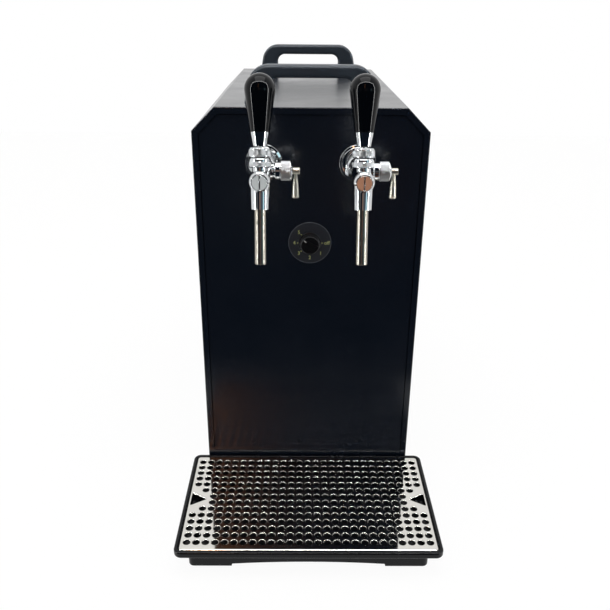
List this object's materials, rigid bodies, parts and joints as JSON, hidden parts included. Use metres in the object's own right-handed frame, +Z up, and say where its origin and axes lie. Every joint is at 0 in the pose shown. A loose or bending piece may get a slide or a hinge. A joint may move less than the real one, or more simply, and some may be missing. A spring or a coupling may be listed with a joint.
{
  "type": "two-tap over-counter beer cooler",
  "caption": "Narrow black over-counter beer cooler with tilting tap levers, side flow-control levers, thermostat dial, carry handles and a separate drip tray.",
  "frame": {"origin": "on the counter, below the middle of the whole object with its tray", "axes": "+X to the right seen from the taps, +Y from the taps to the rear, +Z up"},
  "size_m": [0.3706, 0.8, 0.6476],
  "materials": {
    "black_powder_coat": "satin powder coat",
    "polished_chrome": "mirror polished chrome plate",
    "satin_chrome": "satin chrome plate",
    "stainless": "polished stainless steel",
    "zinc_steel": "zinc plated",
    "black_gloss": "glossy moulded",
    "black_nylon": "fine moulded texture",
    "black_abs": "satin moulded",
    "grey_dial": "matt printed plate",
    "grey_acetal": "moulded",
    "black_rubber": "matt",
    "insulation_foam": "rigid foam",
    "cast_aluminium": "as cast",
    "compressor_shell": "black enamel",
    "motor_iron": "painted",
    "copper": "drawn copper"
  },
  "bodies": {
    "cabinet": {"outer_casing": "black_powder_coat", "base_pan": "black_powder_coat", "front_panel": "black_powder_coat", "rear_panel": "black_powder_coat", "cabinet_feet": "black_rubber", "front_carry_handle": "black_nylon", "rear_carry_handle": "black_nylon", "cabinet_screws": "zinc_steel", "dial_plate": "grey_dial", "thermostat_body": "black_nylon", "thermostat_bulb": "copper", "shank_nuts": "zinc_steel", "cold_block": "cast_aluminium", "beer_coils": "stainless", "evaporator_coil": "copper", "insulation_box": "insulation_foam", "insulation_lid": "insulation_foam", "outlet_lines": "stainless", "inlet_lines": "stainless", "inlet_fittings": "grey_acetal", "inlet_collets": "grey_acetal", "power_inlet": "black_nylon", "compressor": "compressor_shell", "compressor_grommets": "black_rubber", "relay_box": "black_nylon", "condenser_fins": "cast_aluminium", "condenser_tube": "copper", "fan_shroud": "black_powder_coat", "fan_motor": "motor_iron", "filter_drier": "copper", "refrigerant_lines": "copper", "tap_shank_left": "stainless", "tap_rosette_left": "polished_chrome", "coupling_ring_left": "polished_chrome", "tap_body_left": "polished_chrome", "front_cap_left": "polished_chrome", "upper_nut_left": "polished_chrome", "spout_tube_left": "stainless", "flow_housing_left": "polished_chrome", "tap_shank_right": "stainless", "tap_rosette_right": "polished_chrome", "coupling_ring_right": "polished_chrome", "tap_body_right": "polished_chrome", "front_cap_right": "polished_chrome", "upper_nut_right": "polished_chrome", "spout_tube_right": "stainless", "flow_housing_right": "polished_chrome"},
    "thermostat_knob": {"thermostat_knob": "black_gloss", "thermostat_shaft": "zinc_steel"},
    "drip_tray": {"drip_tray": "black_abs"},
    "drip_grate": {"drip_grate": "stainless"},
    "fan": {"fan_blade": "cast_aluminium"},
    "tap_lever_left": {"lever_stem_left": "polished_chrome", "lever_handle_left": "black_gloss"},
    "valve_plunger_left": {"valve_plunger_left": "stainless"},
    "flow_lever_left": {"flow_lever_left": "satin_chrome"},
    "tap_lever_right": {"lever_stem_right": "polished_chrome", "lever_handle_right": "black_gloss"},
    "valve_plunger_right": {"valve_plunger_right": "stainless"},
    "flow_lever_right": {"flow_lever_right": "satin_chrome"}
  },
  "joints": [
    {"name": "tap_lever_left_tilt", "type": "hinge", "parent": "cabinet", "child": "tap_lever_left", "pos_m": [-0.0645, -0.26093, 0.55626], "axis": [1, 0, 0], "range_deg": [-12, 22]},
    {"name": "valve_plunger_left_slide", "type": "slide", "parent": "cabinet", "child": "valve_plunger_left", "axis": [0, 0.2079, 0.9781], "range_m": [-0.0022, 0.004]},
    {"name": "flow_lever_left_turn", "type": "hinge", "parent": "cabinet", "child": "flow_lever_left", "pos_m": [-0.0195, -0.223, 0.523], "axis": [1, 0, 0], "range_deg": [-90, 90]},
    {"name": "tap_lever_right_tilt", "type": "hinge", "parent": "cabinet", "child": "tap_lever_right", "pos_m": [0.0645, -0.26093, 0.55626], "axis": [1, 0, 0], "range_deg": [-12, 22]},
    {"name": "valve_plunger_right_slide", "type": "slide", "parent": "cabinet", "child": "valve_plunger_right", "axis": [0, 0.2079, 0.9781], "range_m": [-0.0022, 0.004]},
    {"name": "flow_lever_right_turn", "type": "hinge", "parent": "cabinet", "child": "flow_lever_right", "pos_m": [0.1095, -0.223, 0.523], "axis": [1, 0, 0], "range_deg": [-90, 90]},
    {"name": "thermostat_knob_turn", "type": "hinge", "parent": "cabinet", "child": "thermostat_knob", "pos_m": [0, -0.1744, 0.407], "axis": [0, -1, 0], "range_deg": [0, 223]},
    {"name": "drip_tray_slide", "type": "slide", "parent": "cabinet", "child": "drip_tray", "axis": [0, -1, 0], "range_m": [0, 0.25]},
    {"name": "drip_grate_lift", "type": "slide", "parent": "drip_tray", "child": "drip_grate", "axis": [0, 0, 1], "range_m": [0, 0.05]},
    {"name": "fan_spin", "type": "hinge", "parent": "cabinet", "child": "fan", "pos_m": [0, 0.281, 0.144], "axis": [0, 1, 0], "continuous": true}
  ],
  "couplings": [
    {"joint": "valve_plunger_left_slide", "follows": "tap_lever_left_tilt", "m_per_rad": 0.0104},
    {"joint": "valve_plunger_right_slide", "follows": "tap_lever_right_tilt", "m_per_rad": 0.0104}
  ]
}
